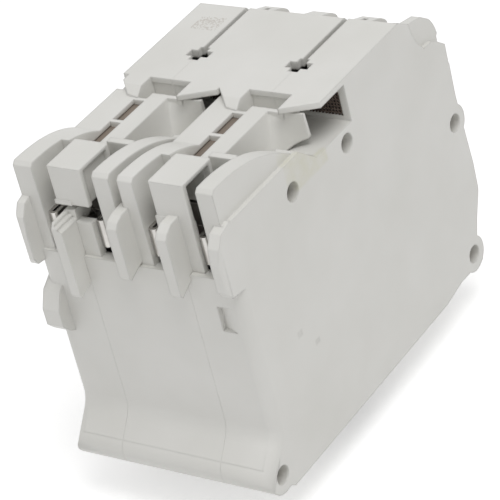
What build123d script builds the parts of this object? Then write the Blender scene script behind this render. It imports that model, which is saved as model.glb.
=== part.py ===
from build123d import *
import os
from math import acos, atan2, cos, degrees, radians, sin, sqrt

os.makedirs("parts", exist_ok=True)

# Two pole plug-on branch circuit breaker, lying with its back face up, as it goes onto its bus stabs.
# X runs across the poles, Y from the line end (low) to the load end (high), Z up out of the back face.
# The origin is on the back face, on the middle of the breaker. All sizes are millimetres.


def polar(centre, radius, angle):
    """Side view point at a radius and an angle in degrees from a centre."""
    return (centre[0] + radius * cos(radians(angle)), centre[1] + radius * sin(radians(angle)))


# How far cuts run past the faces they open, and joined forms run into each other
PAST = 1.0
LAP = 0.1
SLIP = 0.01
# Play of turning pieces, round a pin and at their ends
PIN_PLAY = 0.05
END_PLAY = 0.1

# Poles
POLE_PITCH = 25.4
POLE_CENTRES = (-POLE_PITCH / 2, POLE_PITCH / 2)
HALF_PITCH = POLE_PITCH / 2
SEAM_GAP = 0.04

# Side outline of the case
BACK_NEAR_Y = -15.4
BACK_FAR_Y = 15.5
RAIL_Z = -1.8
LEDGE_Z = -5.3
FRONT_Z = -70.6
LINE_Y = -56.0
LINE_STEP = 0.8
LINE_STEP_Z = -18.1
LOAD_Y = 31.5
CORNER_Z = -14.4
BELLY_Y = 33.2
WALL = 2.0
CORNER_ROUND = 2.5
SIDE_WALL = 1.8

# Through rivets, as places on the side view
RIVETS = ((-32.2, -11.9), (-11.0, -13.4), (29.1, -33.1), (26.4, -66.4), (-57.4, -65.4))
RIVET_R = 1.5
RIVET_SIDES = 12
RIVET_HOLE_R = 1.6
RIVET_HEAD_R = 2.0
COUNTERBORE_R = 2.15
COUNTERBORE_DEPTH = 4.0
RIVET_HEAD_T = 1.0
POST_R = 4.3
POST_SIDES = 6

# Line end crown: fins, box tops and plug-on slots
CROWN_Z = 2.6
FIN_FRONT_Y = -54.8
FIN_Y = LINE_Y + LINE_STEP
FIN_ROUND = 0.8
CROWN_POINTS = ((-46.5, 2.2), (-40.5, 0.9))
LEFT_CROWN_END = ((-34.2, RAIL_Z - 0.2),)
RIGHT_CROWN_END = ((-34.5, -1.5), (-28.5, -5.2), (-24.5, -7.9), (-21.5, -10.0))
SLOT_END_Z = 0.9
BOX_BACK_Y = -44.3
BOX_BOTTOM_Z = -6.3
BOX_WALL = 1.4
BOX_ROUND = 0.4
BOX_RIM = 1.2
BOX_TOP_RIM = 0.8
BOX_SIDE_DEPTH = 0.8
SLOT_BACK_Y = -41.5
SLOT_WALL = 1.5
FIN_OUT_LEFT = HALF_PITCH - 1.0
FIN_OUT_RIGHT = HALF_PITCH - 1.2
SLOT_OUT_LEFT = FIN_OUT_LEFT - 3.7
SLOT_OUT_RIGHT = FIN_OUT_RIGHT - 4.1
BOX_HALF_W = SLOT_OUT_LEFT - 3.8

# Rails, slit and plug recess on the back
SLIT_LOW_U = -6.1
SLIT_HIGH_U = -3.3
SLIT_NEAR_Y = -39.8
SLIT_FAR_Y = -21.9
SLIT_RIB_Y = -30.3
SLIT_UNDERCUT = 1.6
SLIT_PLATE_T = 1.0
RIB_T = 1.0
RAIL_RIGHT_U = 1.3
RAIL_FAR_Y = -18.6
RECESS_LOW_U = -5.5
RECESS_HIGH_U = 5.0
RECESS_Z = -4.6
RECESS_FLOOR_T = 1.4
RECESS_NEAR_Y = -21.3
PLATE_CORNER = 4.4
PLATE_RAMP = 2.6
PLATE_SIDE_Y = BACK_NEAR_Y - 0.7
PLATE_BEND_Y = RECESS_NEAR_Y + 0.5
PLATE_EDGE_Y = RECESS_NEAR_Y + 0.1
RAMP_FOOT_Y = RECESS_NEAR_Y - 0.2
RECESS_STEP_Y = RECESS_NEAR_Y + 0.4
RECESS_FLOOR_Y = RAIL_FAR_Y - 1.2
PASSAGE_LOW_U = 2.5
PASSAGE_SILL = 1.0
SLIT_DEPTH = WALL + 0.5
PLATE_T = 1.4
PLATE_LIP = 0.3

# Vent pocket, its deflector and the flap over it
VENT_FLOOR_Z = -10.0
VENT_FAR_Y = -7.8
VENT_NEAR_Y = -27.5
VENT_LOW_Y = -22.0
FLAP_T = 1.3
FLAP_TIP_Y = -21.2
FLAP_SIDE_Y = -17.0
DEFLECTOR_T = 1.5
DEFLECTOR_BEND_Y = -32.0

# Load plug hole and blade slot on the back
PLUG_Y = -4.5
PLUG_W = 5.6
PLUG_ARM = 2.4
PLUG_L = 5.2
BLADE_SLOT_W = 1.2
BLADE_SLOT_Z = -8.0
BLADE_SLOT_FAR_Y = 22.5

# Guide tongues and side flanges at the line end
TONGUE_T = 2.6
TONGUE_Y = -60.3
FLANGE_T = 2.8
LEFT_FLANGE_T = 2.0
FLANGE_ROUND = 1.2
BULGE_ROUND = 0.7
FLANGE_Y = -59.3

# Hook ribs at the load end corner
HOOK_W = 4.6
KNOB_HIGH_X = POLE_PITCH - 1.0
HOOK_ROUND = 0.7
HOOK_RIB = [
    (17.6, -4.2), (21.0, -3.6), (24.5, -4.9), (28.0, -7.4), (30.0, -10.4), (29.0, -11.6),
    (29.0, -16.5), (20.0, -16.5),
]
KNOB = [
    (17.6, -4.2), (21.0, -3.3), (25.6, -4.3), (29.2, -6.9), (31.3, -10.2), (30.1, -11.6),
    (30.1, -16.5), (20.0, -16.5),
]

# Side wall beside the knob, scoop at the line end corner and notch beside the left rail
KNOB_RECESS = [(18.2, -3.0), (33.0, -3.0), (33.0, -19.0), (26.5, -19.0), (20.5, -12.0)]
SCOOP_LOW_X = POLE_PITCH - 6.7
SCOOP_HIGH_X = POLE_PITCH - 3.0
SCOOP_DEPTH = 1.2
SCOOP_LOW_Z = -31.0
SCOOP_HIGH_Z = -25.0
NOTCH_DEPTH = 1.5
NOTCH_NEAR_Y = -18.7
NOTCH_Z = -3.8

# Toggle and its drum
DRUM_Y = -21.0
DRUM_Z = -64.0
DRUM_R = 9.5
DRUM_W = 11.0
DRUM_GAP = 0.35
TOGGLE_SWING = 24.0
LEVER_TIP_R = 17.2
LEVER_TIP_T = 3.6
LEVER_BASE_T = 5.2
LEVER_ROOT = 3.0
LEVER_ROUND = LEVER_TIP_T / 2 - 0.3
PIVOT_R = 1.5
PIVOT_HOLE_R = 1.55

# Vent deflector: an arc on the vent floor that starts along the rail, and its straight top edges
DEFLECTOR_END_U = 9.0
DEFLECTOR_END_Y = -18.2
DEFLECTOR_TOP_U = 9.6
DEFLECTOR_TOP_Y = -19.4
DEFLECTOR_FAR_T = 1.0
DEFLECTOR_DX = DEFLECTOR_END_U - RAIL_RIGHT_U
DEFLECTOR_DY = DEFLECTOR_END_Y - DEFLECTOR_BEND_Y
DEFLECTOR_R = (DEFLECTOR_DX**2 + DEFLECTOR_DY**2) / (2 * DEFLECTOR_DX)
DEFLECTOR_CENTRE = (RAIL_RIGHT_U + DEFLECTOR_R, DEFLECTOR_BEND_Y)
DEFLECTOR_TURN = degrees(atan2(DEFLECTOR_DY, DEFLECTOR_R - DEFLECTOR_DX))
DEFLECTOR_FOOT = [
    (-21.5, VENT_FLOOR_Z - LAP), (-21.5, VENT_FLOOR_Z + LAP), (-18.2, -8.0), (-16.0, -8.0),
    (-16.0, VENT_FLOOR_Z - LAP),
]

# Line end tongues, as side outlines
TONGUE_LOW_U = -2.5
TONGUE_TOP_Z = -7.6
TONGUE_SLANT_Z = -9.7
TONGUE_GROOVES = (-1.7, -0.85)
GROOVE_W = 0.32
GROOVE_DEPTH = 0.3
PANEL_HIGH_U = 4.0
PANEL_TOP_Z = -9.95
MIDDLE_TONGUE_X = 0.7
LONG_TONGUE = [
    (-50.0, -7.6), (-59.5, -7.8), (TONGUE_Y, -9.0), (TONGUE_Y, -25.2), (-59.8, -26.0),
    (LINE_Y, -24.2), (LINE_Y + WALL, -24.2), (LINE_Y + WALL, -12.0), (-50.0, -10.4),
]
SHORT_TONGUE = [
    (FIN_FRONT_Y + PAST, -4.8), (-57.6, -4.9), (-59.5, -6.0), (TONGUE_Y, -7.2), (TONGUE_Y, -20.4),
    (-59.8, -21.2), (LINE_Y, -19.4), (LINE_Y, LINE_STEP_Z), (FIN_FRONT_Y + PAST, LINE_STEP_Z),
]
MIDDLE_TONGUE = [
    (FIN_FRONT_Y + PAST, -4.4), (-57.6, -4.6), (-59.5, -5.4), (TONGUE_Y, -6.6), (TONGUE_Y, -18.2),
    (-59.8, -19.0), (LINE_Y, -17.4), (FIN_FRONT_Y + PAST, -17.4),
]
UPPER_FLANGE = [
    (-53.5, -4.9), (-57.2, -6.0), (-58.8, -8.6), (FLANGE_Y, -12.5), (FLANGE_Y, -18.6), (-58.4, -20.2),
    (-53.5, -20.9),
]
LOWER_FLANGE = [
    (-53.5, -25.0), (-57.4, -27.6), (FLANGE_Y, -31.4), (FLANGE_Y, -35.4), (-57.6, -37.4), (-53.5, -39.6),
]
BULGE_T = 4.4

# Places of the moving pieces, as side view points
DRUM_AXIS = (DRUM_Y, DRUM_Z)
BOSS_R = 3.0
BOSS_U = 6.0
TRUNNION_U = HALF_PITCH - SIDE_WALL - 1.9
LEVER_W = 6.4
TIE_R = 13.2
TIE_PIN_R = 1.2
TIE_HOLE_R = 1.25
TIE_PIN_X = HALF_PITCH + LEVER_W / 2 + 0.5
TIE_BAR_L = 5.6
TIE_BAR_T = 4.0
TIE_BAR_ROUND = TIE_BAR_T / 2 - 0.3
TIE_BAR_PLAY = 0.2

# Contact arm, on its pivot in the drum
ARM_U = -2.5
ARM_T = 1.8
ARM_SIDE_GAP = 0.5
ARM_CLEAR = 0.4
SLOT_BACK_SHARE = 1.2
SLOT_SIDE_L = 2 * DRUM_R
SLOT_SWEEP_R = 2.6 * DRUM_R
ARM_HUB_R = 2.4
ARM_PIN_R = 1.0
ARM_PIN_REACH = 3.0
ARM_PIN_END = 0.2
ARM_TIP_R = 2.0
ARM_L = 34.5
ARM_PIVOT_R = 6.0
ARM_REST = 118.5
ARM_TURN = 68.0
ARM_PIVOT = polar(DRUM_AXIS, ARM_PIVOT_R, TOGGLE_SWING + 90)

# Contacts and the line terminal
CONTACT_W = 4.0
CONTACT_T = 1.4
CONTACT_ALONG = 6.6
CONTACT_LIFT = 0.05
JAW_T = 0.8
JAW_BEND_R = 0.69
JAW_LOW_Z = -16.0
JAW_HIGH_Z = -9.5
JAW_NEAR_Y = -54.1
JAW_END_Y = -45.5
JAW_LINK_Y = -43.4
LEFT_JAW_U = -SLOT_OUT_LEFT + JAW_T / 2
LEFT_JAW_W = 1.5
RIGHT_JAW_U = BOX_HALF_W + JAW_T / 2 + 0.15
RIGHT_JAW_W = 1.4
JAW_PATH = (
    (LEFT_JAW_U, JAW_END_Y),
    (LEFT_JAW_U, JAW_NEAR_Y),
    (LEFT_JAW_U + LEFT_JAW_W, JAW_NEAR_Y),
    (LEFT_JAW_U + LEFT_JAW_W, JAW_LINK_Y),
    (RIGHT_JAW_U, JAW_LINK_Y),
    (RIGHT_JAW_U, JAW_NEAR_Y),
    (RIGHT_JAW_U + RIGHT_JAW_W, JAW_NEAR_Y),
    (RIGHT_JAW_U + RIGHT_JAW_W, JAW_END_Y),
)
TAIL_T = 1.0
TAIL_W = 5.0
TAIL_BEND_R = 1.4
LINE_TAIL = ((JAW_LINK_Y, -15.0), (JAW_LINK_Y, -19.3), (-52.9, -21.2), (-52.9, -36.1), (-45.2, -42.9))

# Arc chute
PLATE_COUNT = 5
PLATE_PITCH = 2.5
ARC_PLATE_T = 0.9
PLATE_LOW_Z = -34.4
PLATE_NEAR_Y = -52.2
PLATE_FAR_Y = -40.5
NOTCH_Y = -48.8
NOTCH_W = 6.0
NOTCH_FLARE = 1.0
BOARD_T = 1.3
BOARD_MARGIN = 1.0
PLATE_HALF_W = HALF_PITCH - SIDE_WALL - BOARD_T - 0.3

# Cradle, spring and trip bar
CRADLE_AXIS = (2.0, -52.0)
CRADLE_U = 2.4
CRADLE_T = 1.6
CRADLE_HUB_R = 3.2
CRADLE_END_R = 1.8
CRADLE_STUB_U = HALF_PITCH - 3.7
CRADLE_BOSS_U = 4.4
NOSE_TIP = (16.0, -43.0)
NOSE_R = 0.9
SPRING_U = 0.4
SPRING_R = 1.3
STUD_CLEAR = 0.1
SPRING_SIDES = 12
SPRING_END_GAP = 0.3
SPRING_LOW = polar(ARM_PIVOT, 14.0, ARM_REST)
SPRING_HIGH = (-16.0, -40.0)
WIRE_R = 0.3
STUD_R = 0.7
STUD_REACH = 0.9
TRIP_AXIS = (13.0, -57.0)
TRIP_BAR_R = 2.4
TRIP_END_X = POLE_PITCH - 4.8
TRIP_STUB_X = POLE_PITCH - 2.8
TRIP_END_PLAY = 0.2
TRIP_BAR_CLEAR = 0.6
FINGER_TIP = (16.2, -52.2)
FINGER_R = 0.8
FINGER_W = 4.0
FINGER_ROOT_R = TRIP_BAR_R - 0.4

# Load terminal, bimetal, yoke and armature
JAW_GAP = 1.5
LOAD_JAW_LOW_Z = -11.9
LOAD_JAW_HIGH_Z = -2.7
LOAD_JAW_NEAR_Y = 0.5
LOAD_JAW_FAR_Y = 13.0
STRAP_HALF_W = 3.4
LOAD_STRAP = ((10.0, -11.5), (15.4, -11.5), (21.0, -18.2), (21.0, -25.5))
BIMETAL_Y = 21.4
BIMETAL_T = 1.1
BIMETAL_LOW_Z = -54.0
BIMETAL_HIGH_Z = -18.6
YOKE_HALF_W = 6.6
YOKE_T = 1.3
YOKE_EAR_Y = 15.8
YOKE_LOW_Z = -42.0
YOKE_HIGH_Z = -27.5
ARMATURE_AXIS = (18.0, -29.5)
ARMATURE_PIN_R = 0.8
ARMATURE_T = 1.2
ARMATURE_LOW_Z = -53.0
ARMATURE_PLAY = 0.3
STRAP_BEND_R = 1.5

# The outline of the case below its back, from the load end round to the line end
LOAD_SIDE = [
    (BACK_FAR_Y + 1.6, -1.9),
    (20.1, -9.5),
    (24.5, CORNER_Z),
    (LOAD_Y, CORNER_Z),
    (LOAD_Y, -27.5),
    (BELLY_Y, -46.0),
    (BELLY_Y, -53.0),
    (30.4, -59.0),
    (29.0, -63.0),
    (29.5, -69.8),
    (19.4, -69.4),
    (12.1, FRONT_Z),
    (-54.2, FRONT_Z),
    (-55.6, -69.6),
    (-58.6, -69.5),
    (-60.6, -62.4),
    (LINE_Y, -57.0),
    (LINE_Y, LINE_STEP_Z),
    (LINE_Y + LINE_STEP, LINE_STEP_Z),
    (LINE_Y + LINE_STEP, LEDGE_Z),
]
LEFT_TOP = [
    (BOX_BACK_Y, LEDGE_Z),
    (BOX_BACK_Y, RAIL_Z),
    (BACK_NEAR_Y, RAIL_Z),
    (BACK_NEAR_Y, 0),
    (BACK_FAR_Y, 0),
]
RIGHT_TOP = [
    (VENT_NEAR_Y, LEDGE_Z),
    (VENT_LOW_Y, VENT_FLOOR_Z),
    (VENT_FAR_Y, VENT_FLOOR_Z),
    (VENT_FAR_Y, 0),
    (BACK_FAR_Y, 0),
]
LEFT_ROOF = [
    (LINE_Y + LINE_STEP + WALL, LEDGE_Z - WALL),
    (BOX_BACK_Y + WALL, LEDGE_Z - WALL),
    (BOX_BACK_Y + WALL, RAIL_Z - WALL),
    (RECESS_NEAR_Y - WALL, RAIL_Z - WALL),
    (RECESS_NEAR_Y - WALL, RECESS_Z - RECESS_FLOOR_T),
    (BACK_NEAR_Y + WALL, RECESS_Z - RECESS_FLOOR_T),
    (BACK_NEAR_Y + WALL, -WALL),
]
RIGHT_ROOF = [
    (LINE_Y + LINE_STEP + WALL, LEDGE_Z - WALL),
    (SLIT_NEAR_Y - WALL, LEDGE_Z - WALL),
    (SLIT_NEAR_Y - WALL, VENT_FLOOR_Z - WALL),
    (VENT_FAR_Y + WALL, VENT_FLOOR_Z - WALL),
    (VENT_FAR_Y + WALL, -WALL),
]
HOLLOW_SIDE = [
    (BACK_FAR_Y, -WALL),
    (18.3, -10.5),
    (23.6, CORNER_Z - WALL),
    (LOAD_Y - WALL, CORNER_Z - WALL),
    (LOAD_Y - WALL, -27.5),
    (BELLY_Y - WALL, -46.0),
    (BELLY_Y - WALL, -52.6),
    (28.5, -58.2),
    (27.0, -63.0),
    (27.0, -67.6),
    (19.5, -67.3),
    (12.0, FRONT_Z + WALL),
    (LINE_Y + WALL, FRONT_Z + WALL),
    (LINE_Y + WALL, LINE_STEP_Z - WALL),
    (LINE_Y + LINE_STEP + WALL, LINE_STEP_Z - WALL),
]
# Corners of the outline that are rounded, with the radius of each
ROUNDED = (
    ((LOAD_Y, CORNER_Z), 1.5),
    ((BELLY_Y, -46.0), 6.0),
    ((BELLY_Y, -53.0), 4.0),
    ((12.1, FRONT_Z), 4.0),
    ((LINE_Y, -57.0), 6.0),
    ((BACK_FAR_Y, 0), 0.7),
)


def across(points, x_low, x_high, mode=Mode.ADD, radius=0.0):
    """Carry a closed side view outline, given as Y and Z points, from one X to another."""
    with BuildSketch(Plane.YZ.offset(x_low)) as outline:
        with BuildLine():
            Polyline(*points, close=True)
        make_face()
        if radius:
            fillet(outline.vertices(), radius)
    extrude(outline.sketch, amount=x_high - x_low, mode=mode)


def upright(points, z_low, z_high, mode=Mode.ADD, radius=0.0):
    """Carry a closed plan outline, given as X and Y points, from one Z to another."""
    with BuildSketch(Plane.XY.offset(z_low)) as outline:
        with BuildLine():
            Polyline(*points, close=True)
        make_face()
        if radius:
            fillet(outline.vertices(), radius)
    extrude(outline.sketch, amount=z_high - z_low, mode=mode)


def span(x_low, x_high, y_low, y_high):
    """Corners of a plan rectangle."""
    return [(x_low, y_low), (x_high, y_low), (x_high, y_high), (x_low, y_high)]


def block(x_low, x_high, y_low, y_high, z_low, z_high):
    """A square block between two places along each axis."""
    upright(span(x_low, x_high, y_low, y_high), z_low, z_high)


def cut(x_low, x_high, y_low, y_high, z_low, z_high):
    """A square cut between two places along each axis."""
    upright(span(x_low, x_high, y_low, y_high), z_low, z_high, Mode.SUBTRACT)


def disc(centre, radius, x_low, x_high, mode=Mode.ADD):
    """A round bar or bore along X at a side view centre."""
    with BuildSketch(Plane.YZ.offset(x_low)) as outline:
        with Locations(centre):
            Circle(radius)
    extrude(outline.sketch, amount=x_high - x_low, mode=mode)


def case_sketch(x_low, top):
    """Side view face of the case with its rivet lobes and rounded corners."""
    with BuildSketch(Plane.YZ.offset(x_low)) as outline:
        with BuildLine():
            Polyline(*(top + LOAD_SIDE), close=True)
        make_face()
        for corner, radius in ROUNDED:
            near = [v for v in outline.vertices() if abs(v.X - corner[0]) + abs(v.Y - corner[1]) < SLIP]
            fillet(near, radius)
        with Locations(*RIVETS[2:]):
            Circle(POST_R)
    return outline.sketch


def round_corner(x, y, radius):
    """Round the upright edge at an X and Y, with the edges that run on smoothly from it."""
    found = []
    for edge in edges().filter_by(Axis.Z):
        if abs(edge.center().X - x) + abs(edge.center().Y - y) < SLIP:
            found.append(edge)
    fillet(found, radius)


def case_half(x_low, x_high, hollow_low, hollow_high, top, roof, hooks):
    """Solid side outline with its hook ribs, hollowed to the wall, with the rivet posts left standing."""
    extrude(case_sketch(x_low, top), amount=x_high - x_low)
    for edge_x in (x_low, x_high):
        if abs(edge_x) == POLE_PITCH:
            round_corner(edge_x, LINE_Y, CORNER_ROUND)
    for outline, hook_low, hook_high in hooks:
        across(outline, hook_low, hook_high, radius=HOOK_ROUND)
    with BuildSketch(Plane.YZ.offset(hollow_low)) as hollow:
        with BuildLine():
            Polyline(*(roof + HOLLOW_SIDE), close=True)
        make_face()
        with Locations(*RIVETS):
            RegularPolygon(POST_R, POST_SIDES, mode=Mode.SUBTRACT)
    extrude(hollow.sketch, amount=hollow_high - hollow_low, mode=Mode.SUBTRACT)


def fin(x_low, x_high, far_points):
    """A guide fin: upright front, long falling crown and a foot set into the case."""
    last = far_points[-1]
    foot = min(LEDGE_Z, last[1]) - PAST
    with BuildSketch(Plane.YZ.offset(x_low)) as outline:
        with BuildLine():
            Spline((FIN_Y + FIN_ROUND, CROWN_Z), *CROWN_POINTS, *far_points)
            Polyline(
                last,
                (last[0], foot),
                (FIN_Y, foot),
                (FIN_Y, CROWN_Z - FIN_ROUND),
                (FIN_Y + FIN_ROUND, CROWN_Z),
            )
        make_face()
    extrude(outline.sketch, amount=x_high - x_low)


def rivet_bores(x_low, x_high, outer):
    """Clearance holes for the rivets, counterbored from the outer side where there is one."""
    for place in RIVETS:
        disc(place, RIVET_HOLE_R, x_low - PAST, x_high + PAST, Mode.SUBTRACT)
        if outer < 0:
            disc(place, COUNTERBORE_R, x_low - PAST, x_low + COUNTERBORE_DEPTH, Mode.SUBTRACT)
        if outer > 0:
            disc(place, COUNTERBORE_R, x_high - COUNTERBORE_DEPTH, x_high + PAST, Mode.SUBTRACT)


def recess_lip(x_low, x_high):
    """Undercut that leaves the back plate as a thin lip over the recess wall."""
    cut(x_low, x_high, BACK_NEAR_Y - LAP, BACK_NEAR_Y + PLATE_LIP, RECESS_Z, -PLATE_T)


def shared_openings(xc):
    """Load blade slot, plug hole and drum window, which both halves of a pole share."""
    depth = -WALL - PAST
    half_w, half_arm, half_l, half_slot = PLUG_W / 2, PLUG_ARM / 2, PLUG_L / 2, BLADE_SLOT_W / 2
    cut(xc - half_w, xc + half_w, PLUG_Y - half_arm, PLUG_Y + half_arm, depth, PAST)
    cut(xc - half_arm, xc + half_arm, PLUG_Y - half_l, PLUG_Y + half_l, depth, PAST)
    cut(xc - half_slot, xc + half_slot, PLUG_Y, BLADE_SLOT_FAR_Y, BLADE_SLOT_Z, PAST)
    half_drum = DRUM_W / 2 + DRUM_GAP
    disc(DRUM_AXIS, DRUM_R + DRUM_GAP, xc - half_drum, xc + half_drum, Mode.SUBTRACT)


def deflector(xc):
    """Vent deflector: a ruled surface from the straight rail edge down to an arc on the vent floor."""
    low, right, end = xc + RAIL_RIGHT_U - DEFLECTOR_T, xc + RAIL_RIGHT_U, xc + DEFLECTOR_END_U
    foot_z = VENT_FLOOR_Z + SEAM_GAP
    centre = (xc + DEFLECTOR_CENTRE[0], DEFLECTOR_CENTRE[1])
    start = (right, DEFLECTOR_BEND_Y, foot_z)
    foot = []
    for quarter in (1, 3):
        middle = (*polar(centre, DEFLECTOR_R, 180 - DEFLECTOR_TURN * quarter / 4), foot_z)
        stop = (*polar(centre, DEFLECTOR_R, 180 - DEFLECTOR_TURN * (quarter + 1) / 4), foot_z)
        foot.append(Edge.make_three_point_arc(start, middle, stop))
        start = stop
    far_y = DEFLECTOR_END_Y + DEFLECTOR_FAR_T
    for stop in ((end, far_y), (low, far_y), (low, DEFLECTOR_BEND_Y), (right, DEFLECTOR_BEND_Y)):
        foot.append(Edge.make_line(start, (*stop, foot_z)))
        start = (*stop, foot_z)
    top_end = xc + DEFLECTOR_TOP_U
    corners = [
        (right, DEFLECTOR_BEND_Y, RAIL_Z),
        (right, DEFLECTOR_TOP_Y, RAIL_Z),
        (top_end, DEFLECTOR_TOP_Y, RAIL_Z),
        (top_end, RAIL_FAR_Y, RAIL_Z),
        (low, RAIL_FAR_Y, RAIL_Z),
        (low, DEFLECTOR_BEND_Y, RAIL_Z),
    ]
    head = [Edge.make_line(here, there) for here, there in zip(corners, corners[1:] + corners[:1])]
    loft(sections=[Face(Wire(foot)), Face(Wire(head))], ruled=True)
    block(low, right, SLIT_NEAR_Y, DEFLECTOR_BEND_Y, foot_z, RAIL_Z)
    across(DEFLECTOR_FOOT, right, top_end + PAST, Mode.SUBTRACT)


def left_half(xc, is_outer, hooks, long_box):
    """The half of a pole left of its seam, with the box top, the slit rail and the line end tongue."""
    low = xc - HALF_PITCH
    seam = xc - SEAM_GAP / 2
    case_half(low, seam, low + SIDE_WALL, seam + PAST, LEFT_TOP, LEFT_ROOF, hooks)
    # Back plate corner beside the recess, with its slanted near edge
    recess_low = xc + RECESS_LOW_U
    upright(
        [
            (low, PLATE_SIDE_Y),
            (low + PLATE_CORNER, PLATE_BEND_Y),
            (recess_low, PLATE_EDGE_Y),
            (recess_low, BACK_NEAR_Y + PAST),
            (low, BACK_NEAR_Y + PAST),
        ],
        RAIL_Z - PAST,
        0,
    )
    ramp = [(RAMP_FOOT_Y, RAIL_Z), (RAMP_FOOT_Y + PLATE_RAMP, LAP), (RAMP_FOOT_Y, LAP)]
    across(ramp, low, recess_low, Mode.SUBTRACT)
    # Outer fin, and the slot walls under it
    fin(low if is_outer else xc - FIN_OUT_LEFT, xc - SLOT_OUT_LEFT, LEFT_CROWN_END)
    slot_low = xc - SLOT_OUT_LEFT
    fin(slot_low - PAST, xc + SLIT_LOW_U, LEFT_CROWN_END)
    block(slot_low - SLOT_WALL, slot_low, LINE_Y + LINE_STEP, SLIT_NEAR_Y, LINE_STEP_Z, LEDGE_Z)
    cut(slot_low, xc - BOX_HALF_W, LINE_Y - PAST, BOX_BACK_Y, LINE_STEP_Z, CROWN_Z + PAST)
    # Box top, open from below
    box = span(xc - BOX_HALF_W, xc + BOX_HALF_W, FIN_FRONT_Y, BOX_BACK_Y)
    upright(box, BOX_BOTTOM_Z, CROWN_Z, radius=BOX_ROUND)
    core = BOX_HALF_W - BOX_WALL
    box_foot = LEDGE_Z - WALL - PAST
    cut(xc - core, xc + core, FIN_FRONT_Y + BOX_WALL, BOX_BACK_Y - BOX_WALL, box_foot, CROWN_Z - BOX_WALL)
    side_depth = BOX_WALL + LAP if long_box else BOX_SIDE_DEPTH
    side_low = xc + BOX_HALF_W - side_depth
    side_near, side_far = FIN_FRONT_Y + BOX_RIM, BOX_BACK_Y - BOX_RIM
    side_top = CROWN_Z - BOX_TOP_RIM
    cut(side_low, xc + BOX_HALF_W + PAST, side_near, side_far, BOX_BOTTOM_Z - LAP, side_top)
    if long_box:
        wall_far = FIN_FRONT_Y + BOX_WALL
        block(xc - BOX_HALF_W, xc + BOX_HALF_W, FIN_FRONT_Y, wall_far, LINE_STEP_Z, BOX_BOTTOM_Z)
        across(SHORT_TONGUE, xc - TONGUE_T / 2, xc + TONGUE_T / 2)
    else:
        cut(slot_low, xc + TONGUE_LOW_U, LINE_Y - PAST, FIN_FRONT_Y + WALL, LINE_STEP_Z, BOX_BOTTOM_Z)
        cut(xc + TONGUE_LOW_U, seam, LINE_Y - PAST, FIN_FRONT_Y + WALL, TONGUE_TOP_Z, BOX_BOTTOM_Z)
        across(LONG_TONGUE, xc + TONGUE_LOW_U, seam)
        tongue_slant(xc)
    # Rail right of the seam with the deflector, plug recess, slit with its cross rib
    block(seam - PAST, xc + RAIL_RIGHT_U, BOX_BACK_Y, RAIL_FAR_Y, RAIL_Z - DEFLECTOR_T, RAIL_Z)
    deflector(xc)
    recess_high = xc + RECESS_HIGH_U
    block(recess_low, recess_high, RECESS_FLOOR_Y, BACK_NEAR_Y, RECESS_Z - RECESS_FLOOR_T, RAIL_Z)
    upright(
        [
            (recess_low, RECESS_STEP_Y),
            (xc + SLIT_HIGH_U, RECESS_STEP_Y),
            (xc + SLIT_HIGH_U, RAIL_FAR_Y),
            (recess_high + PAST, RAIL_FAR_Y),
            (recess_high + PAST, BACK_NEAR_Y),
            (recess_low, BACK_NEAR_Y),
        ],
        RECESS_Z,
        PAST,
        Mode.SUBTRACT,
    )
    recess_lip(recess_low, seam)
    slit_low, slit_high = xc + SLIT_LOW_U, xc + SLIT_HIGH_U
    for near, far in ((SLIT_NEAR_Y, SLIT_RIB_Y - RIB_T / 2), (SLIT_RIB_Y + RIB_T / 2, SLIT_FAR_Y)):
        cut(slit_low, slit_high, near, far, RAIL_Z - SLIT_DEPTH, PAST)
        cut(slit_low - SLIT_UNDERCUT, slit_high, near, far, RAIL_Z - SLIT_DEPTH, RAIL_Z - SLIT_PLATE_T)
    shared_openings(xc)
    trunnion_boss(xc, -1)


def tongue_slant(xc):
    """Slanted top of the long tongue, with two grooves along it."""
    fall = (TONGUE_TOP_Z - TONGUE_SLANT_Z) / -TONGUE_LOW_U
    with BuildSketch(Plane.XZ.offset(-FIN_FRONT_Y)) as slant:
        with BuildLine():
            Polyline(
                (xc + TONGUE_LOW_U, TONGUE_TOP_Z),
                (xc, TONGUE_SLANT_Z),
                (xc, BOX_BOTTOM_Z),
                (xc + TONGUE_LOW_U, BOX_BOTTOM_Z),
                close=True,
            )
        make_face()
        for groove in TONGUE_GROOVES:
            with Locations((xc + groove, TONGUE_SLANT_Z - groove * fall)):
                Rectangle(GROOVE_W, 2 * GROOVE_DEPTH)
    extrude(slant.sketch, amount=FIN_FRONT_Y - TONGUE_Y + PAST, mode=Mode.SUBTRACT)


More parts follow.
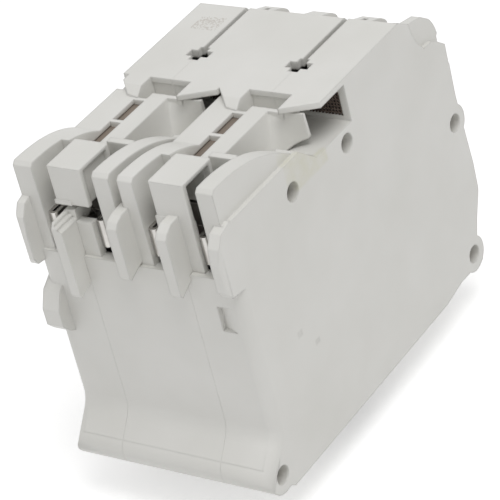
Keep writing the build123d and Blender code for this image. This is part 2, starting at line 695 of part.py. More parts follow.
def right_half(xc, hooks, long_box):
    """The half of a pole right of its seam, with the vent pocket, its flap and the falling fin."""
    high = xc + HALF_PITCH
    seam = xc + SEAM_GAP / 2
    case_half(seam, high, seam - PAST, high - SIDE_WALL, RIGHT_TOP, RIGHT_ROOF, hooks)
    slot_high = xc + SLOT_OUT_RIGHT
    # Vent floor carried in behind the fin, and the slot behind the line end
    cut(seam - PAST, slot_high, SLIT_NEAR_Y, VENT_FAR_Y, VENT_FLOOR_Z, PAST)
    slot_end_low = xc + RAIL_RIGHT_U + SEAM_GAP
    block(slot_end_low, slot_high, SLOT_BACK_Y, SLIT_NEAR_Y, LEDGE_Z - PAST, SLOT_END_Z)
    block(slot_high, slot_high + SLOT_WALL, LINE_Y + LINE_STEP, SLIT_NEAR_Y, LINE_STEP_Z, LEDGE_Z)
    if long_box:
        cut(seam - PAST, slot_high, LINE_Y - PAST, SLOT_BACK_Y, LINE_STEP_Z, CROWN_Z + PAST)
    else:
        cut(seam - PAST, slot_high, LINE_Y - PAST, SLOT_BACK_Y, PANEL_TOP_Z, CROWN_Z + PAST)
        cut(xc + PANEL_HIGH_U, slot_high, LINE_Y - PAST, SLOT_BACK_Y, LINE_STEP_Z, CROWN_Z + PAST)
    fin(slot_high, xc + FIN_OUT_RIGHT, RIGHT_CROWN_END)
    # Back plate near the recess, with the flap that roofs the vent
    recess_high = xc + RECESS_HIGH_U
    upright(
        [
            (seam, VENT_FAR_Y + PAST),
            (seam, BACK_NEAR_Y),
            (recess_high, BACK_NEAR_Y),
            (recess_high, FLAP_TIP_Y),
            (high, FLAP_SIDE_Y),
            (high, VENT_FAR_Y + PAST),
        ],
        -FLAP_T,
        0,
    )
    block(seam, recess_high, BACK_NEAR_Y, BACK_NEAR_Y + FLAP_T, RECESS_Z - RECESS_FLOOR_T, -FLAP_T)
    recess_lip(seam, recess_high - FLAP_T)
    # Gas passage from the inside into the vent pocket
    passage = [
        (VENT_FAR_Y - PAST, VENT_FLOOR_Z + PASSAGE_SILL),
        (VENT_FAR_Y - PAST, -WALL - FLAP_T),
        (VENT_FAR_Y + WALL + PAST, -WALL - FLAP_T),
        (VENT_FAR_Y + WALL + PAST, VENT_FLOOR_Z + PASSAGE_SILL),
    ]
    across(passage, xc + PASSAGE_LOW_U, high - SIDE_WALL, Mode.SUBTRACT)
    shared_openings(xc)
    trunnion_boss(xc, 1)
    cradle_boss(xc)


def trunnion_boss(xc, side):
    """Bearing for one end of the drum, on the side wall."""
    inner, outer = xc + side * BOSS_U, xc + side * (HALF_PITCH - SIDE_WALL)
    low, high = min(inner, outer), max(inner, outer)
    disc(DRUM_AXIS, BOSS_R, low, high)
    bore_end = xc + side * TRUNNION_U
    disc(DRUM_AXIS, PIVOT_HOLE_R, min(inner, bore_end) - SLIP, max(inner, bore_end) + SLIP, Mode.SUBTRACT)


def cradle_boss(xc):
    """Bearing for the cradle, on the right hand wall of a pole."""
    disc(CRADLE_AXIS, BOSS_R, xc + CRADLE_BOSS_U, xc + HALF_PITCH - SIDE_WALL)
    bore_end = xc + CRADLE_STUB_U + END_PLAY
    disc(CRADLE_AXIS, PIVOT_HOLE_R, xc + CRADLE_BOSS_U - SLIP, bore_end, Mode.SUBTRACT)


def scoop():
    """Shallow scoop in the line end: steep at its inner side and running out towards the corner."""
    with BuildSketch(Plane.XY.offset(SCOOP_LOW_Z)) as plan:
        with BuildLine():
            Polyline(
                (SCOOP_LOW_X, LINE_Y - PAST),
                (SCOOP_LOW_X, LINE_Y + SCOOP_DEPTH),
                (SCOOP_HIGH_X, LINE_Y),
                (SCOOP_HIGH_X, LINE_Y - PAST),
                close=True,
            )
        make_face()
    extrude(plan.sketch, amount=SCOOP_HIGH_Z - SCOOP_LOW_Z, mode=Mode.SUBTRACT)


def trip_boss(side):
    """Bearing for one end of the common trip bar, on an outer wall."""
    inner, outer = side * TRIP_END_X, side * (POLE_PITCH - SIDE_WALL)
    disc(TRIP_AXIS, BOSS_R, min(inner, outer), max(inner, outer))
    bore_end = side * (TRIP_STUB_X + END_PLAY)
    disc(TRIP_AXIS, PIVOT_HOLE_R, min(inner, bore_end) - SLIP, max(inner, bore_end) + SLIP, Mode.SUBTRACT)


def side_flange(edge, width):
    """Guide flange on an outer side at the line end, rounded along its outer front edge."""
    inner = edge - width
    across(UPPER_FLANGE, min(edge, inner), max(edge, inner))
    round_corner(edge, FLANGE_Y, FLANGE_ROUND)


def rib_left(xc):
    """The part of a pole's middle hook rib that is left of its seam."""
    return (HOOK_RIB, xc - HOOK_W / 2, xc - SEAM_GAP / 2)


def rib_right(xc):
    """The part of a pole's middle hook rib that is right of its seam."""
    return (HOOK_RIB, xc + SEAM_GAP / 2, xc + HOOK_W / 2)


pole_1, pole_2 = POLE_CENTRES

with BuildPart() as left_cover:
    left_half(pole_1, True, [rib_left(pole_1)], False)
    side_flange(-POLE_PITCH, -LEFT_FLANGE_T)
    across(LOWER_FLANGE, -POLE_PITCH, -POLE_PITCH + BULGE_T, radius=BULGE_ROUND)
    # Notch between the back plate and the rail
    cut(-POLE_PITCH - PAST, -POLE_PITCH + NOTCH_DEPTH, NOTCH_NEAR_Y, BACK_NEAR_Y, NOTCH_Z, PAST)
    trip_boss(-1)
    rivet_bores(-POLE_PITCH, pole_1, -1)

with BuildPart() as centre_frame:
    right_half(pole_1, [rib_right(pole_1), (HOOK_RIB, -HOOK_W / 2, 0)], False)
    left_half(pole_2, False, [(HOOK_RIB, 0, HOOK_W / 2), rib_left(pole_2)], True)
    across(MIDDLE_TONGUE, -TONGUE_T / 2 + MIDDLE_TONGUE_X, TONGUE_T / 2 + MIDDLE_TONGUE_X)
    disc(TRIP_AXIS, TRIP_BAR_R + TRIP_BAR_CLEAR, -HALF_PITCH, HALF_PITCH, Mode.SUBTRACT)
    rivet_bores(pole_1, pole_2, 0)

with BuildPart() as right_cover:
    right_half(pole_2, [rib_right(pole_2), (KNOB, KNOB_HIGH_X - HOOK_W, KNOB_HIGH_X)], True)
    side_flange(POLE_PITCH, FLANGE_T)
    # Scoop in the line end beside the rounded corner
    scoop()
    # Side wall set back beside the hook knob
    across(KNOB_RECESS, KNOB_HIGH_X, POLE_PITCH + PAST, Mode.SUBTRACT)
    trip_boss(1)
    rivet_bores(pole_2, POLE_PITCH, 1)

with BuildPart() as case_rivets:
    reach = POLE_PITCH - COUNTERBORE_DEPTH
    for place in RIVETS:
        disc(place, RIVET_HEAD_R, reach, reach + RIVET_HEAD_T)
        disc(place, RIVET_HEAD_R, -reach - RIVET_HEAD_T, -reach)
    with BuildSketch(Plane.YZ.offset(-reach)) as shanks:
        with Locations(*RIVETS):
            RegularPolygon(RIVET_R, RIVET_SIDES)
    extrude(shanks.sketch, amount=2 * reach)


def lever_plane(x):
    """Plane across the poles at the drum axis, with its own X along the toggle lever at OFF."""
    angle = radians(TOGGLE_SWING - 90)
    return Plane(origin=(x, DRUM_Y, DRUM_Z), x_dir=(0, cos(angle), sin(angle)), z_dir=(1, 0, 0))


def bar_outline(start, start_r, end, end_r):
    """Two discs and the straight sides that touch both, in the sketch that is open."""
    along = atan2(end[1] - start[1], end[0] - start[0])
    length = sqrt((end[0] - start[0]) ** 2 + (end[1] - start[1]) ** 2)
    turn = acos((start_r - end_r) / length)
    corners = []
    for centre, radius, signs in ((start, start_r, (1, -1)), (end, end_r, (-1, 1))):
        for sign in signs:
            angle = along + sign * turn
            corners.append((centre[0] + radius * cos(angle), centre[1] + radius * sin(angle)))
    return corners


def bar(plane, start, start_r, end, end_r, thickness, mode=Mode.ADD):
    """A flat bar with round ends on a plane, carried along the plane's normal."""
    with BuildSketch(plane) as outline:
        with Locations(start):
            Circle(start_r)
        with Locations(end):
            Circle(end_r)
        with BuildLine():
            Polyline(*bar_outline(start, start_r, end, end_r), close=True)
        make_face()
    extrude(outline.sketch, amount=thickness, mode=mode)


def toggle(xc):
    """Drum with its lever, trunnions, arm slot and tie pin hole."""
    disc(DRUM_AXIS, DRUM_R, xc - DRUM_W / 2, xc + DRUM_W / 2)
    disc(DRUM_AXIS, PIVOT_R, xc - TRUNNION_U + END_PLAY, xc + TRUNNION_U - END_PLAY)
    with BuildSketch(lever_plane(xc - LEVER_W / 2)) as lever:
        with BuildLine():
            Polyline(
                (DRUM_R - LEVER_ROOT, -LEVER_BASE_T / 2),
                (LEVER_TIP_R, -LEVER_TIP_T / 2),
                (LEVER_TIP_R, LEVER_TIP_T / 2),
                (DRUM_R - LEVER_ROOT, LEVER_BASE_T / 2),
                close=True,
            )
        make_face()
        fillet(lever.vertices().group_by(Axis.X)[-1], LEVER_ROUND)
    extrude(lever.sketch, amount=LEVER_W)
    with BuildSketch(lever_plane(xc - LEVER_W)) as tie_hole:
        with Locations((TIE_R, 0)):
            Circle(TIE_HOLE_R)
    extrude(tie_hole.sketch, amount=2 * LEVER_W, mode=Mode.SUBTRACT)
    slot_low = xc + ARM_U - ARM_T / 2 - ARM_SIDE_GAP
    slot_high = xc + ARM_U + ARM_T / 2 + ARM_SIDE_GAP
    clear = ARM_HUB_R + ARM_CLEAR
    across(
        [
            polar(ARM_PIVOT, clear * SLOT_BACK_SHARE, ARM_REST + ARM_TURN / 2 + 180),
            polar(ARM_PIVOT, clear, ARM_REST - 90),
            polar(polar(ARM_PIVOT, clear, ARM_REST - 90), SLOT_SIDE_L, ARM_REST),
            polar(ARM_PIVOT, SLOT_SWEEP_R, ARM_REST + ARM_TURN / 2),
            polar(polar(ARM_PIVOT, clear, ARM_REST + ARM_TURN + 90), SLOT_SIDE_L, ARM_REST + ARM_TURN),
            polar(ARM_PIVOT, clear, ARM_REST + ARM_TURN + 90),
        ],
        slot_low,
        slot_high,
        Mode.SUBTRACT,
    )
    pin_reach = ARM_PIN_REACH + ARM_PIN_END
    disc(ARM_PIVOT, ARM_PIN_R + PIN_PLAY, xc + ARM_U - pin_reach, xc + ARM_U + pin_reach, Mode.SUBTRACT)


def arm_plane(x):
    """Plane across the poles at the arm pivot, with its own X along the contact arm at rest."""
    angle = radians(ARM_REST)
    return Plane(origin=(x, *ARM_PIVOT), x_dir=(0, cos(angle), sin(angle)), z_dir=(1, 0, 0))


def strip(points, radius, thickness, x_low, x_high):
    """A folded strip of sheet along a side view path."""
    with BuildSketch(Plane.YZ.offset(x_low)) as outline:
        with BuildLine() as path:
            FilletPolyline(*points, radius=radius)
        trace(path.line, line_width=thickness)
    extrude(outline.sketch, amount=x_high - x_low)


def line_terminal(xc):
    """Two hairpin jaws side by side in one stamping, with the tail that carries the fixed contact."""
    with BuildSketch(Plane.XY.offset(JAW_LOW_Z)) as plan:
        with BuildLine() as path:
            FilletPolyline(*[(xc + u, y) for u, y in JAW_PATH], radius=JAW_BEND_R)
        trace(path.line, line_width=JAW_T)
    extrude(plan.sketch, amount=JAW_HIGH_Z - JAW_LOW_Z)
    strip(LINE_TAIL, TAIL_BEND_R, TAIL_T, xc + ARM_U - TAIL_W / 2, xc + ARM_U + TAIL_W / 2)


def fixed_contact(xc):
    """Silver button on the tail's sloping end."""
    with BuildSketch(tail_plane(xc + ARM_U - CONTACT_W / 2)) as pad:
        with Locations((CONTACT_ALONG, TAIL_T / 2 + CONTACT_T / 2)):
            Rectangle(CONTACT_W, CONTACT_T)
    extrude(pad.sketch, amount=CONTACT_W)


def tail_plane(x):
    """Plane across the poles at the last bend of the line tail, with its own X down the sloping end."""
    bend, end = LINE_TAIL[-2], LINE_TAIL[-1]
    return Plane(origin=(x, *bend), x_dir=(0, end[0] - bend[0], end[1] - bend[1]), z_dir=(1, 0, 0))


def moving_arm(xc):
    """Contact arm: hub with pivot pins, tapering bar, and a stud for the spring."""
    bar(arm_plane(xc + ARM_U - ARM_T / 2), (0, 0), ARM_HUB_R, (ARM_L, 0), ARM_TIP_R, ARM_T)
    disc(ARM_PIVOT, ARM_PIN_R, xc + ARM_U - ARM_PIN_REACH, xc + ARM_U + ARM_PIN_REACH)
    disc(SPRING_LOW, STUD_R, xc + ARM_U + ARM_T / 2 - SLIP, xc + SPRING_U + STUD_REACH)


def moving_contact(xc):
    """Silver button under the tip of the arm."""
    with BuildSketch(arm_plane(xc + ARM_U - CONTACT_W / 2)) as pad:
        with Locations((ARM_L - CONTACT_W / 2, ARM_TIP_R + CONTACT_LIFT + CONTACT_T / 2)):
            Rectangle(CONTACT_W, CONTACT_T)
    extrude(pad.sketch, amount=CONTACT_W)


def arc_plates(xc):
    """Stack of notched steel plates that the arm's tip moves through."""
    for index in range(PLATE_COUNT):
        z_low = PLATE_LOW_Z + index * PLATE_PITCH
        notch_low, notch_high = xc + ARM_U - NOTCH_W / 2, xc + ARM_U + NOTCH_W / 2
        outline = [
            (xc - PLATE_HALF_W, PLATE_NEAR_Y),
            (xc + PLATE_HALF_W, PLATE_NEAR_Y),
            (xc + PLATE_HALF_W, PLATE_FAR_Y),
            (notch_high + NOTCH_FLARE, PLATE_FAR_Y),
            (notch_high, NOTCH_Y),
            (notch_low, NOTCH_Y),
            (notch_low - NOTCH_FLARE, PLATE_FAR_Y),
            (xc - PLATE_HALF_W, PLATE_FAR_Y),
        ]
        upright(outline, z_low, z_low + ARC_PLATE_T)


def chute_sides(xc):
    """Fibre boards that hold the arc plates between the side walls."""
    z_low = PLATE_LOW_Z - BOARD_MARGIN
    z_high = PLATE_LOW_Z + (PLATE_COUNT - 1) * PLATE_PITCH + ARC_PLATE_T + BOARD_MARGIN
    for low in (xc - PLATE_HALF_W - BOARD_T, xc + PLATE_HALF_W):
        block(low, low + BOARD_T, PLATE_NEAR_Y, PLATE_FAR_Y, z_low, z_high)


def cradle(xc):
    """Trip lever: hub with its bearing stub, spring end and latch nose."""
    layer = Plane.YZ.offset(xc + CRADLE_U)
    bar(layer, CRADLE_AXIS, CRADLE_HUB_R, SPRING_HIGH, CRADLE_END_R, CRADLE_T)
    bar(layer, CRADLE_AXIS, CRADLE_HUB_R, NOSE_TIP, NOSE_R, CRADLE_T)
    disc(CRADLE_AXIS, PIVOT_R, xc + CRADLE_U + CRADLE_T - SLIP, xc + CRADLE_STUB_U)
    disc(SPRING_HIGH, STUD_R, xc + SPRING_U + SPRING_R + STUD_CLEAR, xc + CRADLE_U + SLIP)


def spring(xc):
    """Over-centre spring as a plain tube between the arm's stud and the cradle's stud."""
    along_y, along_z = SPRING_HIGH[0] - SPRING_LOW[0], SPRING_HIGH[1] - SPRING_LOW[1]
    length = sqrt(along_y**2 + along_z**2)
    start = STUD_R + SPRING_END_GAP
    share = start / length
    foot = (xc + SPRING_U, SPRING_LOW[0] + along_y * share, SPRING_LOW[1] + along_z * share)
    with BuildSketch(Plane(origin=foot, x_dir=(1, 0, 0), z_dir=(0, along_y, along_z))) as ring:
        RegularPolygon(SPRING_R, SPRING_SIDES)
        RegularPolygon(SPRING_R - 2 * WIRE_R, SPRING_SIDES, mode=Mode.SUBTRACT)
    extrude(ring.sketch, amount=length - 2 * start)


def load_terminal(xc):
    """U-shaped load jaw under the blade slot, with the strap that goes down to the bimetal."""
    half = JAW_GAP / 2 + JAW_T
    profile = [
        (xc - half, LOAD_JAW_LOW_Z),
        (xc + half, LOAD_JAW_LOW_Z),
        (xc + half, LOAD_JAW_HIGH_Z),
        (xc + half - JAW_T, LOAD_JAW_HIGH_Z),
        (xc + half - JAW_T, LOAD_JAW_LOW_Z + JAW_T),
        (xc - half + JAW_T, LOAD_JAW_LOW_Z + JAW_T),
        (xc - half + JAW_T, LOAD_JAW_HIGH_Z),
        (xc - half, LOAD_JAW_HIGH_Z),
    ]
    with BuildSketch(Plane.XZ.offset(-LOAD_JAW_FAR_Y)) as jaw:
        with BuildLine():
            Polyline(*profile, close=True)
        make_face()
    extrude(jaw.sketch, amount=LOAD_JAW_FAR_Y - LOAD_JAW_NEAR_Y)
    strip(LOAD_STRAP, STRAP_BEND_R, JAW_T, xc - STRAP_HALF_W, xc + STRAP_HALF_W)


def bimetal(xc):
    """Thin strip that bends as it warms."""
    far_y = BIMETAL_Y + BIMETAL_T
    block(xc - STRAP_HALF_W, xc + STRAP_HALF_W, BIMETAL_Y, far_y, BIMETAL_LOW_Z, BIMETAL_HIGH_Z)


def magnet_yoke(xc):
    """Folded steel channel round the bimetal, with the armature's bearings in its ears."""
    outer, back = YOKE_HALF_W, BIMETAL_Y + BIMETAL_T
    inner = outer - YOKE_T
    outline = [
        (xc - outer, YOKE_EAR_Y),
        (xc - outer, back + YOKE_T),
        (xc + outer, back + YOKE_T),
        (xc + outer, YOKE_EAR_Y),
        (xc + inner, YOKE_EAR_Y),
        (xc + inner, back),
        (xc - inner, back),
        (xc - inner, YOKE_EAR_Y),
    ]
    upright(outline, YOKE_LOW_Z, YOKE_HIGH_Z)
    disc(ARMATURE_AXIS, ARMATURE_PIN_R + PIN_PLAY, xc - outer - PAST, xc + outer + PAST, Mode.SUBTRACT)


def armature(xc):
    """Latch plate hung in the yoke's ears."""
    half = YOKE_HALF_W - YOKE_T - ARMATURE_PLAY
    y_low = ARMATURE_AXIS[0] - ARMATURE_T / 2
    block(xc - half, xc + half, y_low, y_low + ARMATURE_T, ARMATURE_LOW_Z, ARMATURE_AXIS[1])
    disc(ARMATURE_AXIS, ARMATURE_T, xc - half, xc + half)
    disc(ARMATURE_AXIS, ARMATURE_PIN_R, xc - YOKE_HALF_W, xc + YOKE_HALF_W)


with BuildPart() as trip_bar:
    disc(TRIP_AXIS, TRIP_BAR_R, -TRIP_END_X + TRIP_END_PLAY, TRIP_END_X - TRIP_END_PLAY)
    disc(TRIP_AXIS, PIVOT_R, -TRIP_STUB_X, TRIP_STUB_X)
    for centre in POLE_CENTRES:
        side = Plane.YZ.offset(centre - FINGER_W / 2)
        bar(side, TRIP_AXIS, FINGER_ROOT_R, FINGER_TIP, FINGER_R, FINGER_W)

with BuildPart() as tie_pin:
    with BuildSketch(lever_plane(-TIE_PIN_X)) as pin:
        with Locations((TIE_R, 0)):
            Circle(TIE_PIN_R)
    extrude(pin.sketch, amount=2 * TIE_PIN_X)

with BuildPart() as tie_bar:
    tie_half = HALF_PITCH - LEVER_W / 2 - TIE_BAR_PLAY
    with BuildSketch(lever_plane(-tie_half)) as tie:
        with Locations((TIE_R, 0)):
            RectangleRounded(TIE_BAR_L, TIE_BAR_T, TIE_BAR_ROUND)
            Circle(TIE_HOLE_R, mode=Mode.SUBTRACT)
    extrude(tie.sketch, amount=2 * tie_half)

POLE_PIECES = {
    "toggle": toggle,
    "line_terminal": line_terminal,
    "fixed_contact": fixed_contact,
    "moving_arm": moving_arm,
    "moving_contact": moving_contact,
    "arc_plates": arc_plates,
    "chute_sides": chute_sides,
    "cradle": cradle,
    "spring": spring,
    "load_terminal": load_terminal,
    "bimetal": bimetal,
    "magnet_yoke": magnet_yoke,
    "armature": armature,
}
finished = {
    "left_cover": left_cover.part,
    "centre_frame": centre_frame.part,
    "right_cover": right_cover.part,
    "case_rivets": case_rivets.part,
    "trip_bar": trip_bar.part,
    "tie_pin": tie_pin.part,
    "tie_bar": tie_bar.part,
}
for number, centre in enumerate(POLE_CENTRES, 1):
    for piece_name, make_piece in POLE_PIECES.items():
        with BuildPart() as piece:
            make_piece(centre)
        finished[f"pole_{number}_{piece_name}"] = piece.part

for piece_name, solid in finished.items():
    solid.label = piece_name
    export_step(solid, f"parts/{piece_name}.step")
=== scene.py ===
"""Two pole plug-on branch circuit breaker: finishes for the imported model, small pieces and a plain studio."""
from math import pi

import bpy
import numpy as np
from mathutils import Matrix, Vector


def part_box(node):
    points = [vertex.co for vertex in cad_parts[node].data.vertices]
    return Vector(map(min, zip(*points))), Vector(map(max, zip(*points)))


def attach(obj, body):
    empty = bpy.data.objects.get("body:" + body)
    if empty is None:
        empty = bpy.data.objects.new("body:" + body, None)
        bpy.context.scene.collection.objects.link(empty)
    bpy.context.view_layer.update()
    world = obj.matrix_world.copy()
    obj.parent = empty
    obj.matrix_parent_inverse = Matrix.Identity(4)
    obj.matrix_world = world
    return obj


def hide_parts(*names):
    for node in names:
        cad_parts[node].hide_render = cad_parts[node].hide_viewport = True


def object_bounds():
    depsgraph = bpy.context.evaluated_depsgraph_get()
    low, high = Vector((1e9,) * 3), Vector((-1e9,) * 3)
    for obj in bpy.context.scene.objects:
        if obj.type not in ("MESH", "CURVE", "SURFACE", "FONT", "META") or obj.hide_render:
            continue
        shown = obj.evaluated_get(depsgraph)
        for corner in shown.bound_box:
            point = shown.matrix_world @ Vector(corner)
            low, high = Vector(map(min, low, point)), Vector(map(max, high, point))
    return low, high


bl_info = {
    "name": "Branch Circuit Breaker",
    "version": (1, 0, 0),
    "blender": (4, 5, 0),
    "location": "View3D > Sidebar > Breaker",
    "description": "Finishes, small pieces and studio for a two pole plug-on breaker",
    "category": "Object",
}

MM = 0.001
AXIS_X, AXIS_Y, AXIS_Z = range(3)
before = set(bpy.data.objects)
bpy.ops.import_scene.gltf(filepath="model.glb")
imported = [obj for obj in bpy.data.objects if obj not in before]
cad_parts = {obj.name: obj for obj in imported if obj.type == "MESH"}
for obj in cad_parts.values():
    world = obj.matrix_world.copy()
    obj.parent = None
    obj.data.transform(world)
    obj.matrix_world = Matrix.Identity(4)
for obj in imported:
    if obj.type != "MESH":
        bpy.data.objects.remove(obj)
CAD_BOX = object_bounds()
# The right cover starts at the middle of pole 2
POLE_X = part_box("right_cover")[0][0] / MM


# Colours and nodes

def linear(hex_colour):
    """Turn an sRGB hex value such as 'D9DADC' into linear red, green, blue and a full alpha."""
    channels = [int(hex_colour[i:i + 2], 16) / 255 for i in (0, 2, 4)]
    return tuple(c / 12.92 if c <= 0.04045 else ((c + 0.055) / 1.055) ** 2.4 for c in channels) + (1.0,)


def add_node(tree, kind, settings=None, **sockets):
    """Add a node, set its properties, and give each named socket a value or a link. A link comes from a
    node's output, or from a node, which stands for its first output. A socket is named with _ for a
    space, or by its number as i0, i1 and so on."""
    node = tree.nodes.new(kind)
    for key, value in (settings or {}).items():
        setattr(node, key, value)
    for key, value in sockets.items():
        numbered = key[0] == "i" and key[1:].isdigit()
        socket = node.inputs[int(key[1:]) if numbered else key.replace("_", " ")]
        source = value.outputs[0] if isinstance(value, bpy.types.Node) else value
        if isinstance(source, bpy.types.NodeSocket):
            tree.links.new(source, socket)
        else:
            socket.default_value = source
    return node


def new_material(name):
    """A node material, its empty tree, and Object coordinates in millimetres."""
    material = bpy.data.materials.new(name)
    material.use_nodes = True
    tree = material.node_tree
    tree.nodes.clear()
    coords = add_node(tree, "ShaderNodeTexCoord")
    place = add_node(tree, "ShaderNodeMapping", Vector=coords.outputs["Object"], Scale=(1 / MM,) * 3)
    return material, tree, place


def clouded(tree, cloud, span, dark, pale):
    """A colour that goes from dark to pale while a cloud pattern goes through a span of its values."""
    share = add_node(tree, "ShaderNodeMapRange", Value=cloud.outputs["Fac"], From_Min=span[0],
                     From_Max=span[1])
    return add_node(tree, "ShaderNodeMix", {"data_type": "RGBA"}, Factor=share, i6=dark, i7=pale).outputs[2]


# How plastics and boards are drawn. Sink waves are about 9 mm long, and the grain moves the roughness
# by the shine
FLOW_MM = 28.0
FLOW_SPAN = (0.32, 0.68)
SINK_WAVES_PER_MM = 0.11
SINK_DEPTH_MM = 0.12
PLASTIC_EDGE_MM = 0.3
PLASTIC_SHINE = (-0.06, 0.08)


def moulded_plastic(name, pale, dark, roughness, grain_mm, depth_mm, edge_mm=PLASTIC_EDGE_MM, marks=None):
    """Moulded plastic or pressed board: a nearly even colour with slow flow clouding, shallow sink
    waves, a fine grain that breaks the gloss, and edges rounded by the tool. The marks function may
    stain the colour and change the edge radius by place."""
    material, tree, place = new_material(name)
    cloud = add_node(tree, "ShaderNodeTexNoise", Vector=place, Scale=1 / FLOW_MM, Detail=3.0, Roughness=0.55)
    colour = clouded(tree, cloud, FLOW_SPAN, dark, pale)
    edge = edge_mm * MM
    if marks:
        colour, edge = marks(tree, place, colour, edge)
    grain = add_node(tree, "ShaderNodeTexNoise", Vector=place, Scale=1 / grain_mm, Detail=4.0, Roughness=0.6)
    sink = add_node(tree, "ShaderNodeTexNoise", Vector=place, Scale=SINK_WAVES_PER_MM, Detail=1.0)
    rounded = add_node(tree, "ShaderNodeBevel", {"samples": 8}, Radius=edge)
    slow = add_node(tree, "ShaderNodeBump", Strength=0.25, Distance=SINK_DEPTH_MM * MM,
                    Height=sink.outputs["Fac"], Normal=rounded)
    fine = add_node(tree, "ShaderNodeBump", Strength=0.35, Distance=depth_mm * MM,
                    Height=grain.outputs["Fac"], Normal=slow)
    shine = add_node(tree, "ShaderNodeMapRange", Value=grain.outputs["Fac"],
                     To_Min=roughness + PLASTIC_SHINE[0], To_Max=roughness + PLASTIC_SHINE[1])
    shader = add_node(tree, "ShaderNodeBsdfPrincipled", Base_Color=colour, Roughness=shine, Normal=fine,
                      IOR=1.5)
    add_node(tree, "ShaderNodeOutputMaterial", Surface=shader)
    return material


# How metals are drawn, in millimetres
LINE_RUN_MM = 12.5
LINE_DEPTH_MM = 0.02
TARNISH_MM = 6.0
TARNISH_SPAN = (0.3, 0.65)
METAL_EDGE_MM = 0.15
METAL_SHINE = (-0.07, 0.09)


def worked_metal(name, pale, dark, roughness, line_axis, line_mm):
    """Sheet or drawn metal: rolling lines along one axis, slow tarnish clouds and slightly softened edges."""
    material, tree, place = new_material(name)
    stretch = [1 / line_mm] * 3
    stretch[line_axis] = 1 / LINE_RUN_MM
    along = add_node(tree, "ShaderNodeMapping", Vector=place, Scale=tuple(stretch))
    lines = add_node(tree, "ShaderNodeTexNoise", Vector=along, Scale=1.0, Detail=5.0)
    cloud = add_node(tree, "ShaderNodeTexNoise", Vector=place, Scale=1 / TARNISH_MM, Detail=4.0)
    colour = clouded(tree, cloud, TARNISH_SPAN, dark, pale)
    rounded = add_node(tree, "ShaderNodeBevel", {"samples": 6}, Radius=METAL_EDGE_MM * MM)
    brushed = add_node(tree, "ShaderNodeBump", Strength=0.3, Distance=LINE_DEPTH_MM * MM,
                       Height=lines.outputs["Fac"], Normal=rounded)
    shine = add_node(tree, "ShaderNodeMapRange", Value=lines.outputs["Fac"],
                     To_Min=roughness + METAL_SHINE[0], To_Max=roughness + METAL_SHINE[1])
    shader = add_node(tree, "ShaderNodeBsdfPrincipled", Base_Color=colour, Metallic=1.0, Roughness=shine,
                      Normal=brushed)
    add_node(tree, "ShaderNodeOutputMaterial", Surface=shader)
    return material


def soft_box(tree, place, low, high, fade):
    """1 inside a box given in millimetres, falling to 0 over the fade beyond its faces."""
    axes = add_node(tree, "ShaderNodeSeparateXYZ", Vector=place)
    inside = 1.0
    for axis, start, end in zip("XYZ", low, high):
        half = (end - start) / 2
        off_centre = add_node(tree, "ShaderNodeMath", {"operation": "SUBTRACT"}, i0=axes.outputs[axis],
                              i1=(start + end) / 2)
        away = add_node(tree, "ShaderNodeMath", {"operation": "ABSOLUTE"}, i0=off_centre)
        shown = add_node(tree, "ShaderNodeMapRange", Value=away, From_Min=half, From_Max=half + fade,
                         To_Min=1.0, To_Max=0.0)
        inside = add_node(tree, "ShaderNodeMath", {"operation": "MULTIPLY"}, i0=inside, i1=shown)
    return inside


def stained(tree, colour, stain, strength, *shares):
    """A colour stained towards another, as much as the strength times every share says."""
    amount = strength
    for share in shares:
        amount = add_node(tree, "ShaderNodeMath", {"operation": "MULTIPLY"}, i0=amount, i1=share)
    mixed = add_node(tree, "ShaderNodeMix", {"data_type": "RGBA"}, Factor=amount, i6=colour, i7=stain)
    return mixed.outputs[2]


def dress(nodes, material):
    """Give CAD nodes one material."""
    for name in nodes:
        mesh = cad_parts[name].data
        mesh.materials.clear()
        mesh.materials.append(material)


def nodes_named(*endings):
    """CAD nodes whose names end in one of the endings."""
    return [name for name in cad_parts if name.endswith(endings)]


# Surfaces on a grid

def new_object(name, points, faces):
    """A mesh object in the scene, from points in metres and faces."""
    mesh = bpy.data.meshes.new(name)
    mesh.from_pydata(points.reshape(-1, 3).tolist(), [], faces)
    mesh.update()
    made = bpy.data.objects.new(name, mesh)
    bpy.context.scene.collection.objects.link(made)
    return made


def ring_faces(rows, columns):
    """Outward faces of a closed tube: each row of points is a ring, the rings follow one another along
    a path, and the first and last are capped."""
    row, column = np.meshgrid(np.arange(rows - 1), np.arange(columns), indexing="ij")
    here = row * columns + column
    beside = row * columns + (column + 1) % columns
    sides = np.stack([here, beside, beside + columns, here + columns], axis=-1).reshape(-1, 4)
    ring = np.arange(columns)
    return sides.tolist() + [ring[::-1].tolist(), (ring + (rows - 1) * columns).tolist()]


def ringed_piece(name, points, body, material):
    """A smooth closed piece from a grid of points of shape (rows, columns, 3), whose rows are its rings."""
    piece = new_object(name, points, ring_faces(*points.shape[:2]))
    piece.data.shade_smooth()
    finish_piece(piece, body, material)
    return piece


def finish_piece(piece, body, material):
    """Give a piece its material, and let it ride on its body."""
    piece.data.materials.append(material)
    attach(piece, body)


def rivet_end(x, side, centre_y, centre_z):
    """A peened rivet end in millimetres, turned round an axis along X from its seat at x towards one
    side: y = cy + r cos t, z = cz + r sin t, where the profile rises in a quarter round and dips into a
    shallow cup."""
    height, radius = np.array(RIVET_PROFILE).T
    t = np.linspace(0, 2 * pi, RIVET_STEPS, endpoint=False) * side
    return np.stack([
        np.repeat((x + side * height)[:, None], RIVET_STEPS, 1),
        centre_y + radius[:, None] * np.cos(t),
        centre_z + radius[:, None] * np.sin(t),
    ], axis=-1) * MM


